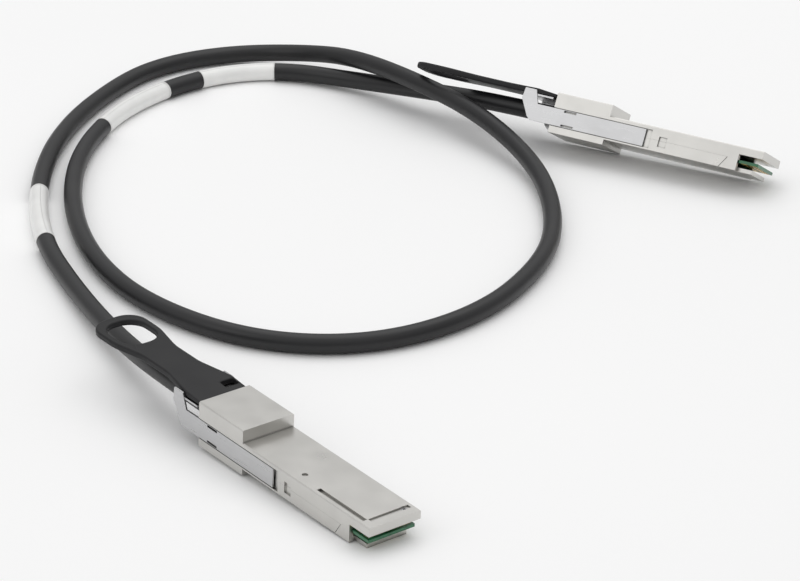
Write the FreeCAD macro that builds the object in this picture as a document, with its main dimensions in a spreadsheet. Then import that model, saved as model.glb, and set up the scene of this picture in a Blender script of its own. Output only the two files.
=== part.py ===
"""Direct attach cable: two pluggable connectors joined by one round cable.

Units are millimetres.  Every connector is drawn in its own frame and then placed where it lies:
+X runs from the shoulder to the nose, +Y to the left-hand side, +Z from the body's underside up.
"""
import FreeCAD, Part
import math
import os

import Sketcher
from FreeCAD import Placement, Rotation, Vector

os.makedirs("parts", exist_ok=True)
doc = FreeCAD.newDocument("DirectAttachCable")

SIZES = [
    # shells
    ("shell_width", 18.35, "width of both shells"),
    ("body_height", 8.5, "height of the part that enters the cage"),
    ("nose_length", 58.26, "shoulder to nose"),
    ("head_length", 21.26, "shoulder to the back of the head"),
    ("head_raise", 4.04, "head top above the body top"),
    ("bump_drop", 1.9, "head underside below the body underside"),
    ("split_height", 4.0, "height of the parting line"),
    ("side_wall", 1.6, "side wall thickness"),
    ("rear_wall", 2.0, "head back wall thickness"),
    ("roof_wall", 1.2, "roof thickness"),
    ("floor_wall", 1.4, "floor and tongue thickness"),
    ("mouth_length", 8.62, "nose back to where its sides open"),
    ("joint_setback", 3.94, "mouth back to the lower shell's front at the parting line"),
    ("joint_slant", 2.4, "how far that front slants back to the floor"),
    ("joint_gap", 0.15, "open line at the slanted joint"),
    ("nose_roof", 2.76, "thickness of the plate over the card"),
    ("tongue_setback", 3.26, "nose back to the front of the tongue under the card"),
    ("edge_bevel", 0.3, "bevel along the long top edges"),
    ("tongue_width", 14.0, "width of that tongue"),
    # small forms of the shells
    ("catch_start", 19.8, "back of the cage catch recess"),
    ("catch_length", 3.0, "its length"),
    ("catch_foot", 1.8, "its lower edge"),
    ("catch_height", 3.6, "its height"),
    ("catch_depth", 0.6, "its depth"),
    ("rail_start", 33.0, "back of the long groove in the roof"),
    ("rail_width", 1.4, "width of that groove"),
    ("rail_inset", 1.3, "side face to the groove"),
    ("rail_depth", 0.8, "depth of that groove"),
    ("trough_back", 4.4, "nose to the back of the cross trough"),
    ("trough_width", 1.6, "width of the cross trough"),
    ("trough_length", 14.0, "length of the cross trough"),
    ("trough_shift", 0.9, "trough centre to the left of the middle"),
    ("trough_depth", 0.5, "depth of the cross trough"),
    ("dimple_at", 24.4, "shoulder to the round dimple"),
    ("dimple_side", 5.4, "dimple to the right of the middle"),
    ("dimple_radius", 0.9, "radius of the dimple"),
    ("dimple_depth", 0.5, "depth of the dimple"),
    # slider and its recess
    ("slider_metal", 0.6, "sheet thickness of the slider"),
    ("slider_gap", 0.25, "running clearance round the slider"),
    ("arm_front", 14.4, "front of the slider arms"),
    ("arm_foot", 0.8, "lower edge of the arms"),
    ("arm_top", 6.9, "upper edge of the arms"),
    ("front_gap", 2.4, "arm front to the end of its recess"),
    ("travel", 2.5, "how far the slider is pulled back"),
    ("ear_top", 11.8, "top of the ears"),
    ("ear_step", 6.4, "head back to where the ears rise from the arms"),
    ("ear_start", 8.2, "head back to the front of the ear's top"),
    ("ear_length", 12.5, "head back to the end of the ear's top"),
    ("ear_tip", 12.9, "head back to the ear's rearmost point"),
    ("ear_tip_height", 7.9, "height of that point"),
    ("ear_foot", 9.3, "head back to the ear's lower corner"),
    ("ear_foot_height", 1.9, "height of that corner"),
    ("ear_corner", 1.2, "run of the slant below that corner"),
    ("ear_gap", 0.5, "head back to the tab"),
    ("bridge_front", 1.4, "head back to the front of the plate between the ears"),
    ("bridge_inset", 0.5, "end of the ear's top to the back of that plate"),
    ("edge_slot_start", 4.1, "head back to the slots in the arm edges"),
    ("edge_slot_length", 4.7, "length of those slots"),
    ("edge_slot_height", 0.7, "height of those slots"),
    ("edge_slot_inset", 0.2, "arm edge to those slots"),
    ("tang_front", 5.4, "shoulder back to the tang that pushes the spring"),
    ("tang_reach", 2.6, "arm's inner face to the tang's tip"),
    ("tang_foot", 2.3, "lower edge of the tang"),
    ("tang_height", 1.4, "height of the tang"),
    # pull tab
    ("tab_top", 12.5, "top of the pull tab"),
    ("tab_thickness", 2.1, "thickness of the strap and ring"),
    ("tab_front_top", 11.8, "top of the tab at its front"),
    ("tab_slope", 8.2, "head back to where that slope ends"),
    ("tab_neck_at", 20.5, "head back to the front of the narrow neck"),
    ("tab_neck_length", 12.5, "length of the narrow neck"),
    ("tab_neck_width", 12.1, "width of the neck"),
    ("neck_round", 20.0, "radius where the neck widens"),
    ("ring_width", 17.4, "outer width of the finger ring"),
    ("ring_wall", 2.3, "wall of the ring at its sides"),
    ("ring_start", 44.5, "head back to where the ring is full width"),
    ("ring_end", 58.2, "head back to the ring's end"),
    ("ring_end_wall", 3.4, "wall of the ring at its end"),
    ("ring_round", 6.5, "radius of the ring's outer corners"),
    ("hole_start", 39.4, "head back to the front of the finger opening"),
    ("hole_round", 5.5, "radius of the finger opening's corners"),
    ("window_length", 3.2, "length of the window over the plate"),
    ("window_width", 4.6, "width of the window"),
    ("window_back", 3.6, "head back to the window"),
    ("window_side", 3.2, "window's right edge from the middle"),
    # card, chip, pads, wires
    ("card_setback", 1.26, "nose back to the front of the card"),
    ("card_back", 26.0, "back of the card"),
    ("card_width", 16.4, "width of the card in the mouth"),
    ("card_thickness", 1.0, "thickness of the card"),
    ("card_foot", 2.9, "underside of the card"),
    ("card_side_gap", 0.3, "card to side wall behind the mouth"),
    ("pad_length", 2.2, "length of a contact pad"),
    ("pad_width", 0.55, "width of a contact pad"),
    ("pad_pitch", 0.8, "pad spacing"),
    ("pad_count", 19, "pads in a row"),
    ("pad_inset", 1.0, "card front to the front row"),
    ("pad_row_step", 3.2, "front row to back row"),
    ("pad_plating", 0.06, "plating thickness"),
    ("chip_at", 38.0, "shoulder to the memory chip"),
    ("chip_size", 4.0, "side of the chip"),
    ("chip_height", 0.9, "height of the chip"),
    ("post_radius", 1.0, "radius of the posts under the card"),
    ("post_at", 34.0, "shoulder to those posts"),
    ("post_side", 5.5, "posts from the middle"),
    ("wire_radius", 0.55, "radius of one wire pair"),
    ("wire_pitch", 1.25, "spacing of the wire pairs"),
    ("wire_count", 8, "wire pairs on each face of the card"),
    ("wire_overlap", 3.0, "wire pair lying on the card"),
    ("clamp_front", 2.0, "shoulder back to the front of the wire clamp"),
    ("clamp_back", 13.0, "shoulder back to the back of the wire clamp"),
    ("clamp_gap", 0.55, "return spring to the wire clamp"),
    ("clamp_top", 8.8, "top of the wire clamp"),
    # springs, screw, crimp ring
    ("spring_length", 6.0, "length of a return spring"),
    ("spring_radius", 0.6, "mean radius of a return spring"),
    ("spring_wire", 0.26, "side of its square wire"),
    ("spring_turns", 4, "turns of a return spring"),
    ("spring_steps", 8, "flat steps in a turn"),
    ("rib_thickness", 1.2, "rib behind a return spring"),
    ("screw_at", 3.6, "nose to the screw"),
    ("screw_side", 6.1, "screw to the left of the middle"),
    ("screw_head_radius", 0.95, "radius of the screw head"),
    ("screw_head_height", 0.6, "height of the screw head"),
    ("screw_shank_radius", 0.55, "radius of the screw shank"),
    ("screw_length", 1.5, "length under the head"),
    ("socket_radius", 0.5, "corner radius of the screw's six-sided socket"),
    ("crimp_radius", 4.6, "corner radius of the six-sided crimp ring"),
    ("wire_sides", 6, "sides of a wire pair's section"),
    ("fit_gap", 0.03, "clearance of pieces that are held tight"),
    # cable and labels
    ("cable_radius", 3.15, "radius of the cable"),
    ("cable_height", 5.3, "height of the cable's axis in the head"),
    ("cable_sides", 16, "sides of the cable's section"),
    ("cable_hole_gap", 0.3, "cable to the hole in the head back"),
    ("label_thickness", 0.12, "thickness of a wrap label"),
    # where the connectors lie
    ("near_x", -57.13, "near connector's shoulder"),
    ("near_y", -117.35, "near connector's shoulder"),
    ("near_yaw", -50.8, "heading of the near connector"),
    ("near_pitch", 2.75, "nose-down tilt of the near connector"),
    ("near_roll", 0.0, "roll of the near connector"),
    ("far_x", 53.97, "far connector's shoulder"),
    ("far_y", 121.25, "far connector's shoulder"),
    ("far_yaw", -28.1, "heading of the far connector"),
    ("far_pitch", 1.45, "nose-down tilt of the far connector"),
    ("far_roll", -30.1, "roll of the far connector"),
]

# The cable's route from inside the near head to inside the far one.  It is free, so its corner
# points are chosen by hand; the first two and last two lie on the connectors' own axes.
CABLE_ROUTE = [
    (-104.7, -46.8, 6.5), (-122.5, -3.8, 3.3), (-138.3, 38.8, 3.3), (-144.2, 88.3, 3.3),
    (-140.0, 137.3, 3.3), (-123.0, 182.9, 3.3), (-106.4, 203.4, 3.3), (-82.4, 214.4, 3.4),
    (-55.0, 207.7, 6.5), (-38.3, 188.3, 12.2), (-18.7, 164.8, 14.0), (7.3, 138.3, 11.0),
    (27.0, 104.7, 5.0), (32.3, 63.4, 3.3), (27.3, 25.4, 3.3), (6.3, -16.4, 3.3),
    (-27.7, -40.4, 3.3), (-65.8, -38.6, 3.3), (-100.5, -12.0, 3.3), (-121.0, 24.8, 3.3),
    (-131.6, 70.3, 3.3), (-132.2, 116.3, 3.3), (-120.7, 157.3, 3.3), (-95.7, 188.3, 3.3),
    (-65.7, 198.3, 3.3), (-34.7, 184.3, 4.3), (-7.7, 163.3, 8.6),
]
EXIT_RUN = 45.0      # shoulder to the last point that lies on a connector's axis
SHORTEST_RUN = 0.01  # a shorter stretch of the cable's path is left out

sheet = doc.addObject("Spreadsheet::Sheet", "Dims")
for row, (alias, number, note) in enumerate(SIZES, start=1):
    sheet.set("A%d" % row, note)
    sheet.set("B%d" % row, str(number))
    sheet.setAlias("B%d" % row, alias)
doc.recompute()


def size(alias):
    """One size from the sheet, as a number."""
    return float(sheet.get(alias))


def refer(expression):
    """An expression in which every alias is read from the sheet."""
    words = sorted((alias for alias, number, note in SIZES), key=len, reverse=True)
    out, at = "", 0
    while at < len(expression):
        hit = next((w for w in words if expression.startswith(w, at)), None)
        out += "Dims." + hit if hit else expression[at]
        at += len(hit) if hit else 1
    return out


# ---------------------------------------------------------------- helpers
def new_body(name):
    body = doc.addObject("PartDesign::Body", name)
    body.AllowCompound = True
    return body


def new_sketch(body, name, plane, height="0"):
    """A sketch on one of the body's origin planes, lifted along the plane's normal."""
    sketch = body.newObject("Sketcher::SketchObject", name)
    support = next(f for f in body.Origin.OriginFeatures if f.Role == plane)
    sketch.AttachmentSupport = [(support, "")]
    sketch.MapMode = "FlatFace"
    sketch.setExpression("AttachmentOffset.Base.z", refer(height))
    return sketch


def pin_point(sketch, item, point, across, up):
    """Hold one point of a sketch at two expressions from the origin."""
    for kind, expression in (("DistanceX", across), ("DistanceY", up)):
        index = sketch.addConstraint(Sketcher.Constraint(kind, -1, 1, item, point, 1.0))
        sketch.setExpression("Constraints[%d]" % index, refer(expression))


def polygon(radius, sides, start=0.0):
    """Corners of a regular polygon in the XY plane; start turns it, in radians."""
    steps = [start + 2 * math.pi * i / sides for i in range(int(sides))]
    return [Vector(radius * math.cos(a), radius * math.sin(a), 0) for a in steps]


def add_polygon(sketch, corners):
    """A closed outline whose corners are pairs of expressions."""
    first = sketch.GeometryCount
    count = len(corners)
    ring = polygon(size("shell_width"), count)
    for i in range(count):
        sketch.addGeometry(Part.LineSegment(ring[i], ring[(i + 1) % count]))
    for i in range(count):
        following = first + (i + 1) % count
        sketch.addConstraint(Sketcher.Constraint("Coincident", first + i, 2, following, 1))
    for i, (across, up) in enumerate(corners):
        pin_point(sketch, first + i, 1, across, up)


def add_rectangle(sketch, left, right, foot, top):
    add_polygon(sketch, [(left, foot), (right, foot), (right, top), (left, top)])


def add_circle(sketch, across, up, radius):
    item = sketch.addGeometry(Part.Circle(Vector(0, 0, 0), Vector(0, 0, 1), 1.0))
    pin_point(sketch, item, 3, across, up)
    index = sketch.addConstraint(Sketcher.Constraint("Radius", item, 1.0))
    sketch.setExpression("Constraints[%d]" % index, refer(radius))


def feature(body, kind, name, sketch, length, symmetric=False, reverse=False):
    """A pad or pocket of one sketch."""
    item = body.newObject("PartDesign::" + kind, name)
    item.Profile = sketch
    item.setExpression("Length", refer(length))
    if symmetric:
        item.SideType = "Symmetric"
    item.Reversed = reverse
    sketch.Visibility = False
    body.Tip = item
    return item


def round_corners(body, name, places, radius):
    """Fillet the upright edges that stand at the given places along the connector."""
    doc.recompute()
    base = body.Tip
    edges = []
    for i, edge in enumerate(base.Shape.Edges, start=1):
        ends = [v.Point for v in edge.Vertexes]
        upright = len(ends) == 2 and abs(ends[0].z - ends[1].z) > 0.9 * edge.Length
        if upright and any(abs(ends[0].x - place) < 0.001 for place in places):
            edges.append("Edge%d" % i)
    item = body.newObject("PartDesign::Fillet", name)
    item.Base = (base, edges)
    item.setExpression("Radius", refer(radius))
    body.Tip = item
    return item


def box(name, left, right, low_side, high_side, foot, top):
    """A block between expressions along each axis of the connector."""
    item = doc.addObject("Part::Box", name)
    spans = (("Length", "x", left, right), ("Width", "y", low_side, high_side), ("Height", "z", foot, top))
    for prop, axis, low, high in spans:
        item.setExpression(prop, refer("(%s) - (%s)" % (high, low)))
        item.setExpression("Placement.Base." + axis, refer(low))
    return item


def bar(kind, name, radius, height, across, side, foot, along_x=False):
    """A round or six-sided bar; a six-sided one is as wide as its corners."""
    item = doc.addObject("Part::" + kind, name)
    if kind == "Prism":
        item.Polygon = 6
    item.setExpression("Circumradius" if kind == "Prism" else "Radius", refer(radius))
    item.setExpression("Height", refer(height))
    if along_x:
        item.Placement = Placement(Vector(0, 0, 0), Rotation(Vector(0, 1, 0), 90))
    for axis, expression in (("x", across), ("y", side), ("z", foot)):
        item.setExpression("Placement.Base." + axis, refer(expression))
    return item


def join(name, pieces):
    item = doc.addObject("Part::MultiFuse", name)
    item.Shapes = pieces
    return item


def cut(name, base, tool):
    item = doc.addObject("Part::Cut", name)
    item.Base = base
    item.Tool = tool
    return item


# ---------------------------------------------------------------- shells
HEAD_TOP = "(body_height + head_raise)"
HALF = "shell_width / 2"
CAVITY = "(shell_width - 2 * side_wall)"
NOSE_UNDER = "(body_height - nose_roof)"
MOUTH = "(nose_length - mouth_length)"
JOINT_TOP = "(nose_length - mouth_length - joint_setback)"
JOINT_FOOT = "(nose_length - mouth_length - joint_setback - joint_slant)"
TONGUE_FRONT = "(nose_length - tongue_setback)"
CARD_FRONT = "(nose_length - card_setback)"
PLATE_TOP = "(tab_top - tab_thickness)"


def shell_cutters(tag):
    """What both shells give way to: slider recesses, catch recesses and the cable's hole."""
    depth = "(slider_metal + slider_gap)"
    cutters = []
    for side, low, high in (("left", HALF + " - " + depth, HALF + " + 1"),
                            ("right", "-" + HALF + " - 1", "-" + HALF + " + " + depth)):
        cutters.append(box(tag + "_recess_" + side, "-head_length - 1", "arm_front + front_gap", low, high,
                           "arm_foot - slider_gap", "arm_top + slider_gap"))
    for side, low, high in (("left", HALF + " - catch_depth", HALF + " + 1"),
                            ("right", "-" + HALF + " - 1", "-" + HALF + " + catch_depth")):
        cutters.append(box(tag + "_catch_" + side, "catch_start", "catch_start + catch_length", low, high,
                           "catch_foot", "catch_foot + catch_height"))
    cutters.append(bar("Cylinder", tag + "_cable_hole", "cable_radius + cable_hole_gap", "rear_wall + 2",
                       "-head_length - 1", "0", "cable_height", along_x=True))
    return join(tag + "_cutters", cutters)


def upper_shell(tag):
    """Roof, head top, the nose with its tongue and the walls above the parting line."""
    body = new_body(tag + "_form")
    outline = new_sketch(body, tag + "_outline", "XZ_Plane")
    add_polygon(outline, [
        ("-head_length", "split_height"), ("-head_length", HEAD_TOP), ("0", HEAD_TOP), ("0", "body_height"),
        ("nose_length", "body_height"), ("nose_length", NOSE_UNDER), (MOUTH, NOSE_UNDER),
        (MOUTH, "0"), (JOINT_FOOT + " + joint_gap", "0"), (JOINT_TOP + " + joint_gap", "split_height")])
    feature(body, "Pad", tag + "_block", outline, "shell_width", symmetric=True)
    tongue = new_sketch(body, tag + "_tongue_plan", "XY_Plane")
    add_rectangle(tongue, MOUTH + " - side_wall", TONGUE_FRONT, "-tongue_width / 2", "tongue_width / 2")
    feature(body, "Pad", tag + "_tongue", tongue, "floor_wall")
    hollow = new_sketch(body, tag + "_hollow_outline", "XZ_Plane")
    add_polygon(hollow, [
        ("-head_length + rear_wall", "floor_wall"), ("-head_length + rear_wall", HEAD_TOP + " - roof_wall"),
        ("-roof_wall", HEAD_TOP + " - roof_wall"), ("-roof_wall", "body_height - roof_wall"),
        (MOUTH + " - side_wall", "body_height - roof_wall"), (MOUTH + " - side_wall", NOSE_UNDER),
        ("nose_length + 1", NOSE_UNDER), ("nose_length + 1", "floor_wall")])
    feature(body, "Pocket", tag + "_hollow", hollow, CAVITY, symmetric=True)
    for part, height, toward_nose in (("head", HEAD_TOP, False), ("body", "body_height", True)):
        edges = new_sketch(body, tag + "_" + part + "_edges", "YZ_Plane")
        for side in ("", "-"):
            add_polygon(edges, [(side + HALF, height), (side + "(" + HALF + " - edge_bevel)", height),
                                (side + HALF, height + " - edge_bevel")])
        feature(body, "Pocket", tag + "_" + part + "_bevel", edges,
                "nose_length" if toward_nose else "head_length", reverse=toward_nose)
    rail = new_sketch(body, tag + "_rail_plan", "XY_Plane", "body_height")
    add_rectangle(rail, "rail_start", "nose_length - trough_back", "-" + HALF + " + rail_inset",
                  "-" + HALF + " + rail_inset + rail_width")
    feature(body, "Pocket", tag + "_rail", rail, "rail_depth")
    trough = new_sketch(body, tag + "_trough_plan", "XY_Plane", "body_height")
    add_rectangle(trough, "nose_length - trough_back", "nose_length - trough_back + trough_width",
                  "trough_shift - trough_length / 2", "trough_shift + trough_length / 2")
    feature(body, "Pocket", tag + "_trough", trough, "trough_depth")
    seat = new_sketch(body, tag + "_screw_seat_plan", "XY_Plane", "body_height")
    add_circle(seat, "nose_length - screw_at", "screw_side", "screw_head_radius + fit_gap")
    feature(body, "Pocket", tag + "_screw_seat", seat, "trough_depth + screw_head_height")
    bore = new_sketch(body, tag + "_screw_bore_plan", "XY_Plane", "body_height")
    add_circle(bore, "nose_length - screw_at", "screw_side", "screw_shank_radius + fit_gap")
    feature(body, "Pocket", tag + "_screw_bore", bore, "nose_roof + 1")
    dimple = new_sketch(body, tag + "_dimple_plan", "XY_Plane", "body_height")
    add_circle(dimple, "dimple_at", "-dimple_side", "dimple_radius")
    feature(body, "Pocket", tag + "_dimple", dimple, "dimple_depth")
    return cut(tag, body, shell_cutters(tag))


def lower_shell(tag):
    """Floor, the deeper head underside, the walls below the parting line, posts and spring ribs."""
    body = new_body(tag + "_form")
    outline = new_sketch(body, tag + "_outline", "XZ_Plane")
    add_polygon(outline, [
        ("-head_length", "split_height"), ("-head_length", "-bump_drop"), ("0", "-bump_drop"), ("0", "0"),
        (JOINT_FOOT, "0"), (JOINT_TOP, "split_height")])
    feature(body, "Pad", tag + "_block", outline, "shell_width", symmetric=True)
    hollow = new_sketch(body, tag + "_hollow_outline", "XZ_Plane")
    add_polygon(hollow, [
        ("-head_length + rear_wall", "split_height + 1"),
        ("-head_length + rear_wall", "floor_wall - bump_drop"), ("-floor_wall", "floor_wall - bump_drop"),
        ("-floor_wall", "floor_wall"), (MOUTH, "floor_wall"), (MOUTH, "split_height + 1")])
    feature(body, "Pocket", tag + "_hollow", hollow, CAVITY, symmetric=True)
    posts = new_sketch(body, tag + "_post_plan", "XY_Plane", "floor_wall / 2")
    for side in ("post_side", "-post_side"):
        add_circle(posts, "post_at", side, "post_radius")
    feature(body, "Pad", tag + "_posts", posts, "card_foot - floor_wall / 2")
    ribs = new_sketch(body, tag + "_rib_plan", "XY_Plane", "-bump_drop / 2")
    back = "-tang_front - slider_metal - spring_length"
    tip = "(shell_width / 2 - slider_metal - tang_reach)"
    for low, high in ((tip, HALF + " - side_wall + 0.2"), ("-" + HALF + " + side_wall - 0.2", "-" + tip)):
        add_rectangle(ribs, back + " - rib_thickness", back, low, high)
    feature(body, "Pad", tag + "_ribs", ribs, "split_height + bump_drop / 2")
    windows = []
    for side, low, high in (("left", CAVITY + " / 2 - 0.1", HALF), ("right", "-" + HALF, "-" + CAVITY + " / 2 + 0.1")):
        windows.append(box(tag + "_window_" + side,
                           "-tang_front - slider_metal - travel - slider_gap", "-tang_front + slider_gap",
                           low, high, "tang_foot - slider_gap", "split_height + 1"))
    return cut(tag, body, join(tag + "_all_cutters", windows + [shell_cutters(tag)]))


# ---------------------------------------------------------------- latch
def latch_slider(tag):
    """The sheet-metal slider: two arms, two ears, the plate between them and two spring tangs."""
    body = new_body(tag)
    outline = new_sketch(body, tag + "_outline", "XZ_Plane")
    add_polygon(outline, [
        ("arm_front", "arm_foot"), ("arm_front", "arm_top"), ("-head_length - ear_step", "arm_top"),
        ("-head_length - ear_start", "ear_top"), ("-head_length - ear_length", "ear_top"),
        ("-head_length - ear_tip", "ear_tip_height"), ("-head_length - ear_foot", "ear_foot_height"),
        ("-head_length - ear_foot + ear_corner", "arm_foot")])
    feature(body, "Pad", tag + "_block", outline, "shell_width", symmetric=True)
    inside = new_sketch(body, tag + "_inside_outline", "XZ_Plane")
    add_rectangle(inside, "-head_length - ear_tip - 1", "arm_front + 1", "arm_foot - 1", "ear_top + 1")
    feature(body, "Pocket", tag + "_inside", inside, "shell_width - 2 * slider_metal", symmetric=True)
    bridge = new_sketch(body, tag + "_bridge_plan", "XY_Plane", PLATE_TOP + " - slider_metal")
    half_bridge = "(" + HALF + " - slider_metal / 2)"
    add_rectangle(bridge, "-head_length - ear_length + bridge_inset", "-head_length - bridge_front",
                  "-" + half_bridge, half_bridge)
    feature(body, "Pad", tag + "_bridge", bridge, "slider_metal")
    slots = new_sketch(body, tag + "_slot_outline", "XZ_Plane")
    for foot in ("arm_top - edge_slot_inset - edge_slot_height", "arm_foot + edge_slot_inset"):
        add_rectangle(slots, "-head_length + edge_slot_start", "-head_length + edge_slot_start + edge_slot_length",
                      foot, foot + " + edge_slot_height")
    feature(body, "Pocket", tag + "_slots", slots, "shell_width + 2", symmetric=True)
    tangs = new_sketch(body, tag + "_tang_plan", "XY_Plane", "tang_foot")
    tip = "(shell_width / 2 - slider_metal - tang_reach)"
    for low, high in ((tip, HALF + " - slider_metal / 2"), ("-" + HALF + " + slider_metal / 2", "-" + tip)):
        add_rectangle(tangs, "-tang_front - slider_metal", "-tang_front", low, high)
    feature(body, "Pad", tag + "_tangs", tangs, "tang_height")
    return body


def pull_tab(tag):
    """The moulded strap with its finger ring, seated on the slider's plate between the ears."""
    body = new_body(tag)
    strap = new_sketch(body, tag + "_strap_plan", "XY_Plane", PLATE_TOP)
    inner = "(shell_width / 2 - slider_metal - slider_gap / 2)"
    right = [("tab_slope", inner), ("tab_neck_at", "tab_neck_width / 2"),
             ("(tab_neck_at + tab_neck_length)", "tab_neck_width / 2"), ("ring_start", "ring_width / 2"),
             ("ring_end", "ring_width / 2")]
    outline = [("-head_length - " + back, side) for back, side in right]
    outline += [("-head_length - " + back, "-" + side) for back, side in reversed(right)]
    add_polygon(strap, outline)
    feature(body, "Pad", tag + "_strap", strap, "tab_thickness")
    half_hole = "(ring_width / 2 - ring_wall)"
    hole = new_sketch(body, tag + "_hole_plan", "XY_Plane", "tab_top + 1")
    add_rectangle(hole, "-head_length - ring_end + ring_end_wall", "-head_length - hole_start",
                  "-" + half_hole, half_hole)
    feature(body, "Pocket", tag + "_hole", hole, "tab_thickness + 2")
    end = -size("head_length") - size("ring_end")
    neck = -size("head_length") - size("tab_neck_at")
    waist = (neck, neck - size("tab_neck_length"), -size("head_length") - size("ring_start"))
    opening = (end + size("ring_end_wall"), -size("head_length") - size("hole_start"))
    round_corners(body, tag + "_waist", waist, "neck_round")
    round_corners(body, tag + "_ring_corners", (end,), "ring_round")
    round_corners(body, tag + "_hole_corners", opening, "hole_round")
    seat = new_sketch(body, tag + "_seat_outline", "XZ_Plane")
    add_polygon(seat, [
        ("-head_length - ear_gap", PLATE_TOP), ("-head_length - ear_gap", "tab_front_top"),
        ("-head_length - tab_slope", "tab_top"), ("-head_length - tab_slope", PLATE_TOP)])
    feature(body, "Pad", tag + "_seat", seat, "2 * " + inner, symmetric=True)
    window = new_sketch(body, tag + "_window_plan", "XY_Plane", "tab_top + 1")
    add_rectangle(window, "-head_length - window_back - window_length", "-head_length - window_back",
                  "window_side", "window_side + window_width")
    feature(body, "Pocket", tag + "_window", window, "tab_thickness + 2")
    return body


# ---------------------------------------------------------------- inside
def paddle_card(tag):
    body = new_body(tag)
    plan = new_sketch(body, tag + "_plan", "XY_Plane", "card_foot")
    narrow = "(shell_width / 2 - side_wall - card_side_gap)"
    shoulder = MOUTH + " + card_side_gap"
    add_polygon(plan, [
        ("card_back", "-" + narrow), (shoulder, "-" + narrow), (shoulder, "-card_width / 2"),
        (CARD_FRONT, "-card_width / 2"), (CARD_FRONT, "card_width / 2"), (shoulder, "card_width / 2"),
        (shoulder, narrow), ("card_back", narrow)])
    feature(body, "Pad", tag + "_board", plan, "card_thickness")
    return body


def contact_pads(tag):
    """Gold pads in two rows on each face of the card."""
    pads = []
    count = int(size("pad_count"))
    top = size("card_foot") + size("card_thickness")
    front = size("nose_length") - size("card_setback") - size("pad_inset")
    for row in range(2):
        back = front - size("pad_length") - row * size("pad_row_step")
        for i in range(count):
            side = (i - (count - 1) / 2) * size("pad_pitch") - size("pad_width") / 2
            for foot in (top, size("card_foot") - size("pad_plating")):
                pads.append(Part.makeBox(size("pad_length"), size("pad_width"), size("pad_plating"),
                                         Vector(back, side, foot)))
    item = doc.addObject("Part::Feature", tag)
    item.Shape = Part.makeCompound(pads)
    return item


def block(tag, left, right, width, foot, height):
    """A plain block centred on the connector's middle plane."""
    body = new_body(tag)
    plan = new_sketch(body, tag + "_plan", "XY_Plane", foot)
    add_rectangle(plan, left, right, "-(%s) / 2" % width, "(%s) / 2" % width)
    feature(body, "Pad", tag + "_block", plan, height)
    return body


def memory_chip(tag):
    return block(tag, "chip_at - chip_size / 2", "chip_at + chip_size / 2", "chip_size",
                 "card_foot + card_thickness", "chip_height")


def wire_pairs(tag):
    """Insulated wire pairs from the clamp to both faces of the card."""
    wires = []
    count = int(size("wire_count"))
    start = -size("clamp_front")
    length = size("card_back") + size("wire_overlap") - start
    lift = size("wire_radius") * math.cos(math.pi / size("wire_sides")) + size("fit_gap")
    for i in range(count):
        side = (i - (count - 1) / 2) * size("wire_pitch")
        for height in (size("card_foot") + size("card_thickness") + lift, size("card_foot") - lift):
            ring = [Vector(start, side + p.y, height + p.x)
                    for p in polygon(size("wire_radius"), size("wire_sides"), math.pi / size("wire_sides"))]
            wires.append(Part.Face(Part.makePolygon(ring + ring[:1])).extrude(Vector(length, 0, 0)))
    item = doc.addObject("Part::Feature", tag)
    item.Shape = Part.makeCompound(wires)
    return item


def wire_clamp(tag):
    width = "shell_width - 2 * side_wall - 4 * spring_radius - 4 * spring_wire - 2 * clamp_gap"
    return block(tag, "-clamp_back", "-clamp_front", width, "floor_wall - bump_drop",
                 "clamp_top - floor_wall + bump_drop")


def crimp_ring(tag):
    """The six-sided crimped ring that holds the cable between the head's back wall and the clamp."""
    length = "(head_length - rear_wall - clamp_back)"
    outer = bar("Prism", tag + "_outside", "crimp_radius", length, "-head_length + rear_wall", "0",
                "cable_height", along_x=True)
    inner = bar("Cylinder", tag + "_bore", "cable_radius + fit_gap", length + " + 2",
                "-head_length + rear_wall - 1", "0", "cable_height", along_x=True)
    return cut(tag, outer, inner)


def coil(radius, wire, length, turns, steps):
    """A helix of square wire along X, laid out in flat steps."""
    count = int(turns * steps)
    rise = (length - wire) / count
    rings = []
    for i in range(count + 1):
        angle = 2 * math.pi * i / steps
        ring = []
        for reach, along in ((-1, -1), (1, -1), (1, 1), (-1, 1)):
            across = radius + reach * wire / 2
            ring.append(Vector(wire / 2 + rise * i + along * wire / 2, across * math.cos(angle),
                               across * math.sin(angle)))
        rings.append(ring)
    faces = [Part.Face(Part.makePolygon(ring + ring[:1])) for ring in (rings[0], rings[-1])]
    for ring, following in zip(rings, rings[1:]):
        for k in range(4):
            a, b, c, d = ring[k], ring[(k + 1) % 4], following[(k + 1) % 4], following[k]
            faces.append(Part.Face(Part.makePolygon([a, b, c, a])))
            faces.append(Part.Face(Part.makePolygon([a, c, d, a])))
    return solid_of(faces)


def solid_of(faces):
    """A closed solid from faces that share their edges."""
    shell = Part.Shell(faces)
    shell.sewShape()
    solid = Part.Solid(shell)
    if solid.Volume < 0:
        solid.reverse()
    return solid


def return_springs(tag):
    """Two coil springs between the slider's tangs and the lower shell's ribs."""
    coils = []
    side_at = size("shell_width") / 2 - size("side_wall") - size("spring_radius") - size("spring_wire")
    height = size("tang_foot") + size("tang_height") / 2
    back = -size("tang_front") - size("slider_metal") - size("spring_length")
    for side in (side_at, -side_at):
        spring = coil(size("spring_radius"), size("spring_wire"), size("spring_length"), size("spring_turns"),
                      size("spring_steps"))
        spring.translate(Vector(back, side, height))
        coils.append(spring)
    item = doc.addObject("Part::Feature", tag)
    item.Shape = Part.makeCompound(coils)
    return item


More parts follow.
